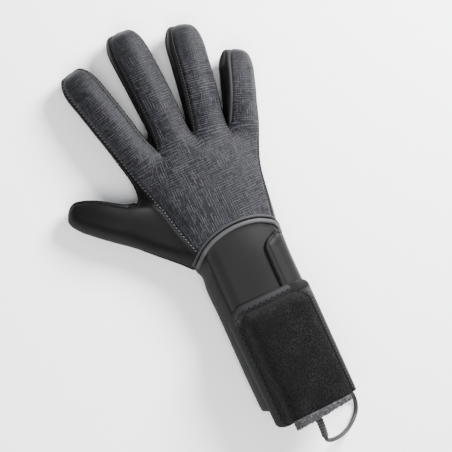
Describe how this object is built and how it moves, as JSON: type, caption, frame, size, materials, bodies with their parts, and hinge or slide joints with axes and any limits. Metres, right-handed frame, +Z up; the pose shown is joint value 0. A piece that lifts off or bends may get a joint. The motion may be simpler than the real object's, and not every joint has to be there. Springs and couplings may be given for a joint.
{
  "type": "diving glove",
  "caption": "Heated diving glove for the right hand, lying palm down, with a battery pocket on the back of its long cuff and a short lead that loops back into the cuff.",
  "frame": {"origin": "On the floor under the middle of the wrist, on the flat underside of the cuff.", "axes": "+Y points along the middle finger, +Z points up through the back of the hand, and the thumb is on the -X side, so it is a right hand lying palm down."},
  "size_m": [0.182, 0.3512, 0.0565],
  "materials": {
    "ribbed_fabric": "slate grey ribbed stretch fabric laminated to foam",
    "smooth_neoprene": "near-black smooth foam rubber, satin",
    "welded_tape": "light grey rubber tape with stitches between its bands",
    "loop_fabric": "black loop fabric with a short fuzz",
    "battery_case": "black matte plastic",
    "felt": "dark grey felt with a ragged edge",
    "lead_rubber": "dark grey soft rubber"
  },
  "bodies": {
    "root": {"back_panel": "ribbed_fabric", "palm_panel": "smooth_neoprene", "thumb_panel": "smooth_neoprene", "fourchette_index_middle": "smooth_neoprene", "fourchette_middle_ring": "smooth_neoprene", "fourchette_ring_little": "smooth_neoprene", "cuff": "smooth_neoprene", "wrist_seam_tape": "welded_tape", "side_placket": "smooth_neoprene", "pocket_base": "smooth_neoprene", "battery_pouch": "loop_fabric", "battery_pack": "battery_case", "felt_edge": "felt", "flap_binding": "smooth_neoprene", "strain_relief": "lead_rubber", "lead": "lead_rubber"}
  },
  "joints": []
}
